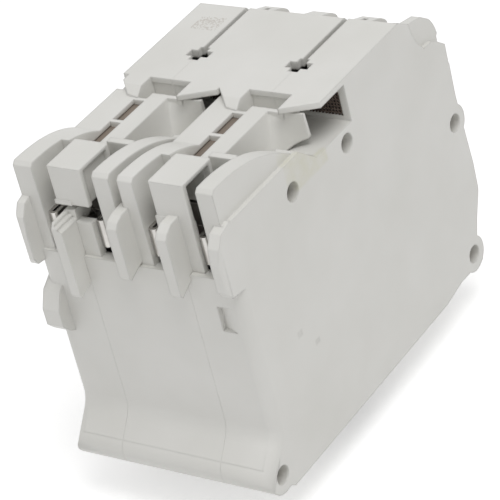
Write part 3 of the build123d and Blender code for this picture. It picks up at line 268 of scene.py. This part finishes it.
def coil(centre, axis, length, radius, wire, turns):
    """A closed-end compression spring: p(t) runs round the axis at a constant radius while it climbs,
    slowly at both ends and evenly between, and a circle of the wire's radius is carried along p in the
    plane across its path."""
    t = np.linspace(0, 1, turns * COIL_STEPS + 1)[:, None]
    across = np.array([1.0, 0.0, 0.0])
    other = np.cross(axis, across)
    turn = 2 * pi * turns * t
    outwards = across * np.cos(turn) + other * np.sin(turn)
    climb = t - COIL_REST / (2 * pi) * np.sin(2 * pi * t)
    path = centre + axis * (climb - 0.5) * (length - 2 * wire) + outwards * (radius - wire)
    ahead = np.gradient(path, axis=0)
    ahead /= np.linalg.norm(ahead, axis=1, keepdims=True)
    sideways = np.cross(ahead, outwards)
    s = np.linspace(0, 2 * pi, WIRE_STEPS, endpoint=False)[None, :, None]
    return path[:, None] + wire * (outwards[:, None] * np.cos(s) + sideways[:, None] * np.sin(s))


def rounded_sheet(low_x, high_x, low_y, high_y, top_z, thickness, sag):
    """A thin board in millimetres: its section across X is a flat loop with half round edges, carried
    along Y, and the whole bows down by the sag in the middle: z = top - sag (1 - s^2), with s from -1
    to 1 along Y."""
    turn = np.linspace(0, pi, SHEET_EDGE_STEPS)
    half = thickness / 2
    section_x = np.concatenate([high_x - half + half * np.sin(turn), low_x + half - half * np.sin(turn)])
    section_z = np.concatenate([half * np.cos(turn), -half * np.cos(turn)]) - half
    s = np.linspace(-1, 1, SHEET_ROWS)[:, None]
    x = np.repeat(section_x[None], SHEET_ROWS, 0)
    y = np.repeat((low_y + high_y) / 2 + (high_y - low_y) / 2 * s, len(section_x), 1)
    z = top_z - sag * (1 - s ** 2) + section_z
    return np.stack([x, y, z], axis=-1) * MM


def perforated(name, low, high, y, web, hole, thickness, body, material):
    """A punched sheet across Y in millimetres, between low and high corners in X and Z: grid lines at
    running sums of web, hole, web, hole, ..., with the face of every hole left out, and a thickness
    given by a modifier."""
    counts = [int((end - start - web) / (web + hole)) for start, end in zip(low, high)]
    steps = [np.tile([web, hole], count) for count in counts]
    lines = [start + np.concatenate([[0], np.cumsum(step), [step.sum() + web]])
             for start, step in zip(low, steps)]
    x, z = np.meshgrid(*lines, indexing="ij")
    points = np.stack([x, np.full_like(x, y), z], axis=-1) * MM
    rows, columns = x.shape
    row, column = np.meshgrid(np.arange(rows - 1), np.arange(columns - 1), indexing="ij")
    here = (row * columns + column)[(row % 2 == 0) | (column % 2 == 0)]
    quads = np.stack([here, here + columns, here + columns + 1, here + 1], axis=-1)
    piece = new_object(name, points, quads.tolist())
    wall = piece.modifiers.new("thickness", "SOLIDIFY")
    wall.thickness, wall.offset = thickness * MM, 0
    finish_piece(piece, body, material)


def prism(name, outline, axis, low, high):
    """A closed block in millimetres: an outline carried along one axis. The outline's pairs are the
    other two axes in order, Y and Z along X, and run anticlockwise as seen from the axis's positive
    end."""
    points = np.zeros((2, len(outline), 3))
    points[:, :, axis] = np.array([low, high])[:, None]
    points[:, :, [(axis + 1) % 3, (axis + 2) % 3]] = np.array(outline, float)
    return new_object(name, points * MM, ring_faces(2, len(outline)))


def carve(node, operation, tool):
    """Shape a CAD node for the picture with a modifier that joins or takes away a hidden block."""
    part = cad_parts[node]
    if "weld" not in part.modifiers:
        weld = part.modifiers.new("weld", "WELD")
        weld.merge_threshold = WELD_MM * MM
    step = part.modifiers.new(tool.name, "BOOLEAN")
    step.operation, step.solver, step.object = operation, "EXACT", tool
    tool.hide_render = True
    tool.hide_viewport = True


class BreakerLooks(bpy.types.PropertyGroup):
    case_colour: bpy.props.StringProperty(
        name="Case colour", description="Moulded case, as an sRGB hex value", default="E0DFDB")
    case_shade: bpy.props.StringProperty(
        name="Case shade", description="Darker clouding of the case, as an sRGB hex value", default="D9D8D3")
    case_roughness: bpy.props.FloatProperty(
        name="Case roughness", description="Roughness of the moulded case", default=0.42, min=0, max=1,
        subtype="FACTOR")
    edge: bpy.props.FloatProperty(
        name="Edge radius", description="Rounding of the case edges, in millimetres", default=0.55, min=0.05,
        max=2)
    grain: bpy.props.FloatProperty(
        name="Mould grain", description="Width of the mould grain, in millimetres", default=0.35, min=0.05,
        max=2)
    toggle_colour: bpy.props.StringProperty(
        name="Toggle colour", description="Moulded toggles, as an sRGB hex value", default="2B2B2D")
    toggle_shade: bpy.props.StringProperty(
        name="Toggle shade", description="Darker clouding of the toggles, as an sRGB hex value",
        default="232325")
    trip_colour: bpy.props.StringProperty(
        name="Trip bar colour", description="Moulded trip bar, as an sRGB hex value", default="A6402E")
    trip_shade: bpy.props.StringProperty(
        name="Trip bar shade", description="Darker clouding of the trip bar, as an sRGB hex value",
        default="8F3526")


class BreakerStudio(bpy.types.PropertyGroup):
    floor_drop: bpy.props.FloatProperty(
        name="Floor drop", description="Gap between the object and the floor", default=0.0, unit="LENGTH")
    key_power: bpy.props.FloatProperty(
        name="Key light", description="Power of the main lamp", default=3.75, unit="POWER")
    fill_power: bpy.props.FloatProperty(
        name="Fill light", description="Power of the fill lamp", default=0.5, unit="POWER")
    sky: bpy.props.FloatProperty(
        name="Sky", description="Strength of the even studio light", default=0.51, min=0)


# Case marks: boxes and sizes in millimetres, and how strongly each shows. The dots are cells of a grid,
# deep enough to pass straight through the plate's face
SEAM_HALF_W = 0.3
SEAM_EDGE_MM = 0.06
DOT_MARK = ((-21.4, 4.9, -0.3), (-14.9, 10.2, 0.3))
DOT_FADE = 0.05
DOT_CELL = (0.34, 0.34, 9.0)
DOTS_LEFT_BARE = 0.5
DOT_STRENGTH = 0.55
LEDGE_STAIN = ((24.6, -33.0, -12.4), (25.6, -18.8, -3.2))
LEDGE_FADE = 0.8
LEDGE_STRENGTH = 0.5
SCUFFS = (((25.2, -41.5, -41.6), (25.6, -40.2, -40.6)), ((25.2, -36.4, -46.9), (25.6, -35.2, -46.1)))
SCUFF_FADE = 0.5
SCUFF_STRENGTH = 0.6
BLOTCH_MM = 2.0


def case_marks(tree, place, colour, edge):
    """What use leaves on the case: a faint laser dot mark, a yellowed ledge and two scuffs. The parting
    lines keep a sharper edge than the rest, so that they close up to a hairline."""
    axes = add_node(tree, "ShaderNodeSeparateXYZ", Vector=place)
    off_centre = add_node(tree, "ShaderNodeMath", {"operation": "ABSOLUTE"}, i0=axes.outputs["X"])
    at_seam = add_node(tree, "ShaderNodeMath", {"operation": "COMPARE"}, i0=off_centre, i1=POLE_X,
                       i2=SEAM_HALF_W)
    radius = add_node(tree, "ShaderNodeMapRange", Value=at_seam, To_Min=edge, To_Max=SEAM_EDGE_MM * MM)
    cells = add_node(tree, "ShaderNodeVectorMath", {"operation": "SNAP"}, i0=place, i1=DOT_CELL)
    dots = add_node(tree, "ShaderNodeTexWhiteNoise", Vector=cells)
    dark_dot = add_node(tree, "ShaderNodeMath", {"operation": "GREATER_THAN"}, i0=dots.outputs["Value"],
                        i1=DOTS_LEFT_BARE)
    mark = soft_box(tree, place, *DOT_MARK, DOT_FADE)
    colour = stained(tree, colour, linear("B9B2A9"), DOT_STRENGTH, mark, dark_dot)
    blotch = add_node(tree, "ShaderNodeTexNoise", Vector=place, Scale=1 / BLOTCH_MM, Detail=3.0)
    ledge = soft_box(tree, place, *LEDGE_STAIN, LEDGE_FADE)
    colour = stained(tree, colour, linear("CBC8A6"), LEDGE_STRENGTH, ledge, blotch.outputs["Fac"])
    for low, high in SCUFFS:
        scuff = soft_box(tree, place, low, high, SCUFF_FADE)
        colour = stained(tree, colour, linear("B4B2AC"), SCUFF_STRENGTH, scuff, blotch.outputs["Fac"])
    return colour, radius


class BREAKER_OT_case(bpy.types.Operator):
    """Finish the three case mouldings"""
    bl_idname = "breaker.case"
    bl_label = "Case finish"

    def execute(self, context):
        looks = context.scene.breaker_looks
        # Filled nylon from a lightly eroded mould: pale grey, satin, and a touch uneven where it flowed
        nylon = moulded_plastic("moulded light grey nylon", linear(looks.case_colour),
                                linear(looks.case_shade), roughness=looks.case_roughness,
                                grain_mm=looks.grain, depth_mm=0.03, edge_mm=looks.edge, marks=case_marks)
        dress(["left_cover", "centre_frame", "right_cover"], nylon)
        return {"FINISHED"}


# Where the case is trimmed, in millimetres. Outlines are pairs of Y and Z, and close outside the case
CLEAR_Y = 32.0
CLEAR_Z = 1.0
TOOL_LAP = 1.0
WELD_MM = 0.001
HOOK_FAR = [(20.4, -3.3), (23.4, -3.9), (25.2, -5.0), (26.4, -6.6), (26.9, -8.6), (27.0, -11.7),
            (CLEAR_Y, -11.7), (CLEAR_Y, CLEAR_Z), (20.4, CLEAR_Z)]
HOOK_SPAN_X = 15.6
KNOB_LOW_X = 22.2
KNOB_CENTRE = (21.8, -12.2)
KNOB_R = 8.85
KNOB_NEAR_Y = 20.6
KNOB_STEPS = 25
KNOB_SIDE = [(KNOB_NEAR_Y, -9.4), (21.4, -11.4), (CLEAR_Y, -11.4), (CLEAR_Y, CLEAR_Z), (KNOB_NEAR_Y, CLEAR_Z)]
CORNER_LOW_X = 23.9
CORNER_WALL = [(15.7, -0.15), (17.0, -4.0), (19.8, -19.5), (31.3, -19.5), (31.3, -14.1), (28.6, -12.0),
               (26.4, -10.7), (23.2, -10.6), (20.7, -7.6), (19.6, -4.7), (19.2, -2.3)]


class BREAKER_OT_carving(bpy.types.Operator):
    """Trim the hook ribs, round the hook knob and shape the corner wall beside it"""
    bl_idname = "breaker.carving"
    bl_label = "Case carving"

    def execute(self, context):
        wall_x = CAD_BOX[1][0] / MM
        hooks = prism("hook_tool", HOOK_FAR, AXIS_X, -HOOK_SPAN_X, HOOK_SPAN_X)
        for node in ("left_cover", "centre_frame", "right_cover"):
            carve(node, "DIFFERENCE", hooks)
        knob_side = prism("knob_side_tool", KNOB_SIDE, AXIS_X, HOOK_SPAN_X, KNOB_LOW_X)
        carve("right_cover", "DIFFERENCE", knob_side)
        knob_y, knob_z = KNOB_CENTRE
        bend = np.linspace(pi / 2, 0, KNOB_STEPS)
        arc = np.stack([knob_y + KNOB_R * np.cos(bend), knob_z + KNOB_R * np.sin(bend)], axis=-1).tolist()
        corner = [(CLEAR_Y + TOOL_LAP, knob_z), (CLEAR_Y + TOOL_LAP, CLEAR_Z), (knob_y, CLEAR_Z)]
        knob = prism("knob_tool", arc + corner, AXIS_X, KNOB_LOW_X - TOOL_LAP, wall_x + TOOL_LAP)
        carve("right_cover", "DIFFERENCE", knob)
        wall = prism("corner_tool", CORNER_WALL, AXIS_X, CORNER_LOW_X, wall_x)
        carve("right_cover", "UNION", wall)
        return {"FINISHED"}


# Small pieces, in millimetres. Rivets are at pairs of Y and Z, and a rivet end's profile is (height
# over its seat, radius). A slit shade board's X is measured from the middle of its pole, and so is a
# screen's corner of X and Z. The slit shade boards' brown tone is painted shade for the dim inside of
# the slits
RIVETS = [(-32.2, -11.9), (-11.0, -13.4), (29.1, -33.1), (26.4, -66.4), (-57.4, -65.4)]
RIVET_SEAT_X = 22.4
RIVET_STEPS = 40
RIVET_PROFILE = [(-0.05, 1.95), (0.15, 1.95), (0.4, 1.86), (0.58, 1.66), (0.66, 1.4), (0.62, 1.12),
                 (0.48, 0.94), (0.2, 0.86), (0.08, 0.8), (0.05, 0.01)]
COIL_STEPS = 24
COIL_REST = 0.6
WIRE_STEPS = 10
WIRE_R = 0.26
COIL_R = 1.25
COIL_TURNS = 11
SHEET_EDGE_STEPS = 7
SHEET_ROWS = 15
# The board under each slit is painted shade: its brown tone stands in for the dim inside of the slit
SHADE_BOARD_X = (-7.6, -3.32)
SHADE_BOARD_Y = (-39.75, -21.95)
SHADE_BOARD_Z = -2.95
SHADE_BOARD_T = 0.5
SHADE_BOARD_SAG = 0.08
WEAVE_MM = 0.55
DENT_SIZE = 0.34
DENT_STRENGTH = 0.45
SCREEN_Y = -7.4
SCREEN_LOW = (2.4, -9.4)
SCREEN_HIGH = (11.2, -3.0)
SCREEN_WEB = 0.3
SCREEN_HOLE = 0.5
SCREEN_T = 0.4


def felt_marks(tree, place, colour, edge):
    """The print of the felt that the board was dried on: rows of small darker dents, drawn a little
    wide to show."""
    dents = add_node(tree, "ShaderNodeTexVoronoi", Vector=place, Scale=1 / WEAVE_MM, Randomness=0.15)
    near = add_node(tree, "ShaderNodeMath", {"operation": "LESS_THAN"}, i0=dents.outputs["Distance"],
                    i1=DENT_SIZE)
    return stained(tree, colour, linear("5F554C"), DENT_STRENGTH, near), edge


class BREAKER_OT_springs(bpy.types.Operator):
    """Wind the contact arm springs in place of their plain tubes"""
    bl_idname = "breaker.springs"
    bl_label = "Springs"

    def execute(self, context):
        # Cold drawn wire: grey, with fine bright streaks from the die
        wire = worked_metal("drawn spring steel wire", linear("9A9CA0"), linear("7E8084"),
                            roughness=0.28, line_axis=AXIS_Y, line_mm=0.15)
        for pole in (1, 2):
            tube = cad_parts[f"pole_{pole}_spring"]
            places = np.empty(len(tube.data.vertices) * 3)
            tube.data.vertices.foreach_get("co", places)
            places = places.reshape(-1, 3)
            centre = (places.min(0) + places.max(0)) / 2
            # The tube's points spread furthest along its axis, which is turned towards the back
            axis = np.linalg.eigh(np.cov((places - centre).T))[1][:, -1]
            axis *= np.sign(axis[AXIS_Z])
            length = np.ptp(places @ axis)
            points = coil(centre, axis, length, COIL_R * MM, WIRE_R * MM, COIL_TURNS)
            spring = ringed_piece(f"spring_coil_{pole}", points, f"arm_{pole}", wire)
            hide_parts(f"pole_{pole}_spring")
        return {"FINISHED"}


class BREAKER_OT_rivets(bpy.types.Operator):
    """Peen the rivet ends in both covers"""
    bl_idname = "breaker.rivets"
    bl_label = "Rivet ends"

    def execute(self, context):
        # Plated wire stock: warm pale grey, with faint lines from drawing
        nickel = worked_metal("nickel plated rivet steel", linear("B9B5AC"), linear("8F8B83"),
                              roughness=0.3, line_axis=AXIS_Y, line_mm=0.3)
        dress(["case_rivets", "tie_pin"], nickel)
        for label, side in (("left", -1), ("right", 1)):
            for number, (y, z) in enumerate(RIVETS, 1):
                points = rivet_end(side * RIVET_SEAT_X, side, y, z)
                ringed_piece(f"rivet_end_{label}_{number}", points, "case", nickel)
        return {"FINISHED"}


class BREAKER_OT_boards(bpy.types.Operator):
    """Lay brown boards under the slits, whose tone is painted shade for the dim inside of the slits, and the
    punched screens behind the vents
    """
    bl_idname = "breaker.boards"
    bl_label = "Slit shade boards and screens"

    def execute(self, context):
        # Pressboard pressed between felts, dull greyish brown with a dotted print; its tone is also painted
        # shade for the dim inside of each slit
        board = moulded_plastic("pressboard with painted slit shade", linear("8A7F74"), linear("74695F"),
                                roughness=0.7, grain_mm=0.4, depth_mm=0.05, marks=felt_marks)
        # Layered cotton paper, hard and darker, with clean punched holes
        punched = moulded_plastic("punched vulcanised fibre", linear("66584F"), linear("52463F"),
                                  roughness=0.6, grain_mm=0.4, depth_mm=0.04)
        for pole, middle in ((1, -POLE_X), (2, POLE_X)):
            # Painted shade: a brown board under each slit stands in for the dim, shaded inside
            points = rounded_sheet(middle + SHADE_BOARD_X[0], middle + SHADE_BOARD_X[1], *SHADE_BOARD_Y, SHADE_BOARD_Z, SHADE_BOARD_T,
                                   SHADE_BOARD_SAG)
            ringed_piece(f"slit_shade_board_{pole}", points, "case", board)
            low = (middle + SCREEN_LOW[0], SCREEN_LOW[1])
            high = (middle + SCREEN_HIGH[0], SCREEN_HIGH[1])
            perforated(f"vent_screen_{pole}", low, high, SCREEN_Y, SCREEN_WEB, SCREEN_HOLE, SCREEN_T, "case",
                       punched)
        return {"FINISHED"}


class BREAKER_OT_handle(bpy.types.Operator):
    """Finish the toggles, tie bar and trip bar"""
    bl_idname = "breaker.handle"
    bl_label = "Handle finish"

    def execute(self, context):
        looks = context.scene.breaker_looks
        # Compression moulded thermoset: deep black, with the smooth gloss of a polished mould
        black = moulded_plastic("moulded black phenolic", linear(looks.toggle_colour),
                                linear(looks.toggle_shade), roughness=0.34, grain_mm=0.3, depth_mm=0.02)
        # Nylon from a plainer mould: a softer and slightly paler black than the toggles
        tie = moulded_plastic("moulded black nylon tie", linear("323234"), linear("29292B"),
                              roughness=0.5, grain_mm=0.3, depth_mm=0.03)
        # Dyed nylon: brick red and satin
        red = moulded_plastic("moulded red trip bar nylon", linear(looks.trip_colour),
                              linear(looks.trip_shade), roughness=0.45, grain_mm=0.3, depth_mm=0.03)
        dress(nodes_named("toggle"), black)
        dress(["tie_bar"], tie)
        dress(["trip_bar"], red)
        return {"FINISHED"}


class BREAKER_OT_metals(bpy.types.Operator):
    """Finish the terminals, contacts, steel plates and arc chute sides"""
    bl_idname = "breaker.metals"
    bl_label = "Metal finishes"

    def execute(self, context):
        # Dipped in tin after stamping: bright and nearly white, with long soft lines
        tinned = worked_metal("tinned copper sheet", linear("D3D1CD"), linear("ADAAA5"),
                              roughness=0.3, line_axis=AXIS_Z, line_mm=0.25)
        # Sintered and coined buttons: the palest and smoothest metal here
        silver = worked_metal("silver contact alloy", linear("E6E4DE"), linear("C9C6BE"),
                              roughness=0.25, line_axis=AXIS_X, line_mm=0.3)
        # Cut from drawn bar: warm red brown, with lines along the draw
        copper = worked_metal("copper bar stock", linear("C98A63"), linear("A86C4B"),
                              roughness=0.32, line_axis=AXIS_Z, line_mm=0.25)
        # Two alloys rolled together: yellowish grey and a little duller
        bimetal = worked_metal("rolled bimetal strip", linear("B5ADA0"), linear("958C80"),
                               roughness=0.38, line_axis=AXIS_Z, line_mm=0.2)
        # Stamped and plated: cool pale grey, faintly cloudy
        plated = worked_metal("zinc plated steel", linear("C4C6C6"), linear("A2A5A6"),
                              roughness=0.3, line_axis=AXIS_Y, line_mm=0.3)
        dress(nodes_named("line_terminal", "load_terminal"), tinned)
        dress(nodes_named("fixed_contact", "moving_contact"), silver)
        dress(nodes_named("moving_arm"), copper)
        dress(nodes_named("bimetal"), bimetal)
        dress(nodes_named("arc_plates", "cradle", "magnet_yoke", "armature"), plated)
        # Layered cotton paper, hardened and dyed: red brown and dull
        fibre = moulded_plastic("vulcanised fibre board", linear("9A5A3C"), linear("84492F"),
                                roughness=0.6, grain_mm=0.5, depth_mm=0.04)
        dress(nodes_named("chute_sides"), fibre)
        return {"FINISHED"}


# The studio, in metres. The camera's three directions are unit vectors at right angles
LENS_MM = 187.72
SENSOR_MM = 36
CAMERA_REACH = 10
CAMERA_PLACE = Vector((0.30685, -0.38386, 0.25649))
CAMERA_RIGHT = Vector((0.82533723, 0.52334077, -0.21197383))
CAMERA_DOWN = Vector((0.1379427, -0.55092232, -0.8230774))
CAMERA_AHEAD = Vector((-0.54753107, 0.65007618, -0.52688774))
FLOOR_HALF = 3.0
KEY_PLACE = (0.34, -0.14, 0.85)
KEY_AIM = (0, -0.01, -0.02)
KEY_SIZE = 0.5
FILL_PLACE = (-0.35, -0.8, 0.35)
FILL_AIM = (0, -0.02, -0.03)
FILL_SIZE = 0.6
WHITE = (1, 1, 1, 1)
CARD_WHITE = (0.9, 0.9, 0.9, 1)
CARD_GLOW = 0.42


def seen(tree):
    """1 for what the camera sees directly, in a reflection or through something clear, else 0."""
    rays = add_node(tree, "ShaderNodeLightPath")
    mirrored = add_node(tree, "ShaderNodeMath", {"operation": "MAXIMUM"}, i0=rays.outputs["Is Glossy Ray"],
                        i1=rays.outputs["Is Transmission Ray"])
    return add_node(tree, "ShaderNodeMath", {"operation": "MAXIMUM"}, i0=rays.outputs["Is Camera Ray"],
                    i1=mirrored)


def white_surround(name):
    """Matt white card: seen as plain white, with only the object's soft shadow on it."""
    material = bpy.data.materials.new(name)
    material.use_nodes = True
    tree = material.node_tree
    tree.nodes.clear()
    card = add_node(tree, "ShaderNodeBsdfDiffuse", Color=CARD_WHITE)
    glow = add_node(tree, "ShaderNodeEmission", Color=WHITE, Strength=CARD_GLOW)
    both = add_node(tree, "ShaderNodeAddShader", i0=card, i1=glow)
    shown = add_node(tree, "ShaderNodeMixShader", i0=seen(tree), i1=card, i2=both)
    add_node(tree, "ShaderNodeOutputMaterial", Surface=shown)
    return material


def lamp(name, place, aim, power, size):
    """A square soft lamp that looks at a point."""
    light = bpy.data.lights.new(name, "AREA")
    light.energy = power
    light.size = size
    holder = bpy.data.objects.new(name, light)
    bpy.context.scene.collection.objects.link(holder)
    holder.location = place
    holder.rotation_euler = (Vector(aim) - Vector(place)).to_track_quat("-Z", "Y").to_euler()


class BREAKER_OT_studio(bpy.types.Operator):
    """Camera, lamps and white surroundings"""
    bl_idname = "breaker.studio"
    bl_label = "Studio"

    def execute(self, context):
        studio = context.scene.breaker_studio
        scene = context.scene
        camera = bpy.data.objects.new("camera", bpy.data.cameras.new("camera"))
        scene.collection.objects.link(camera)
        camera.data.sensor_width = SENSOR_MM
        camera.data.lens = LENS_MM
        camera.data.clip_end = CAMERA_REACH
        turn = Matrix((CAMERA_RIGHT, -CAMERA_DOWN, -CAMERA_AHEAD)).transposed().to_4x4()
        camera.matrix_world = Matrix.Translation(CAMERA_PLACE) @ turn
        scene.camera = camera

        corners = np.array([(-1, -1, 0), (1, -1, 0), (1, 1, 0), (-1, 1, 0)]) * FLOOR_HALF
        level = CAD_BOX[0][AXIS_Z] - studio.floor_drop
        ground = new_object("floor", corners + [0, 0, level], [(0, 1, 2, 3)])
        ground.data.materials.append(white_surround("white studio sweep"))

        world = bpy.data.worlds.new("studio")
        scene.world = world
        world.use_nodes = True
        tree = world.node_tree
        tree.nodes.clear()
        soft = add_node(tree, "ShaderNodeBackground", Color=WHITE, Strength=studio.sky)
        white = add_node(tree, "ShaderNodeBackground", Color=WHITE, Strength=1.0)
        shown = add_node(tree, "ShaderNodeMixShader", i0=seen(tree), i1=soft, i2=white)
        add_node(tree, "ShaderNodeOutputWorld", Surface=shown)

        lamp("key", KEY_PLACE, KEY_AIM, studio.key_power, KEY_SIZE)
        lamp("fill", FILL_PLACE, FILL_AIM, studio.fill_power, FILL_SIZE)
        scene.view_settings.view_transform = "Standard"
        return {"FINISHED"}


class BREAKER_PT_panel(bpy.types.Panel):
    """Breaker pieces and finishes"""
    bl_idname = "BREAKER_PT_panel"
    bl_label = "Breaker"
    bl_space_type = "VIEW_3D"
    bl_region_type = "UI"
    bl_category = "Breaker"

    def draw(self, context):
        for group in (context.scene.breaker_looks, context.scene.breaker_studio):
            for key in group.bl_rna.properties.keys():
                if key not in ("rna_type", "name"):
                    self.layout.prop(group, key)
        for step in STEPS:
            self.layout.operator(step.bl_idname)


STEPS = (BREAKER_OT_case, BREAKER_OT_carving, BREAKER_OT_handle, BREAKER_OT_metals, BREAKER_OT_springs,
         BREAKER_OT_rivets, BREAKER_OT_boards, BREAKER_OT_studio)
CLASSES = (BreakerLooks, BreakerStudio) + STEPS + (BREAKER_PT_panel,)


def register():
    for cls in CLASSES:
        bpy.utils.register_class(cls)
    bpy.types.Scene.breaker_looks = bpy.props.PointerProperty(type=BreakerLooks)
    bpy.types.Scene.breaker_studio = bpy.props.PointerProperty(type=BreakerStudio)


def unregister():
    del bpy.types.Scene.breaker_looks
    del bpy.types.Scene.breaker_studio
    for cls in reversed(CLASSES):
        bpy.utils.unregister_class(cls)


def main():
    register()
    bpy.ops.breaker.case()
    bpy.ops.breaker.carving()
    bpy.ops.breaker.handle()
    bpy.ops.breaker.metals()
    bpy.ops.breaker.springs()
    bpy.ops.breaker.rivets()
    bpy.ops.breaker.boards()
    bpy.ops.breaker.studio()


if __name__ == "__main__":
    main()
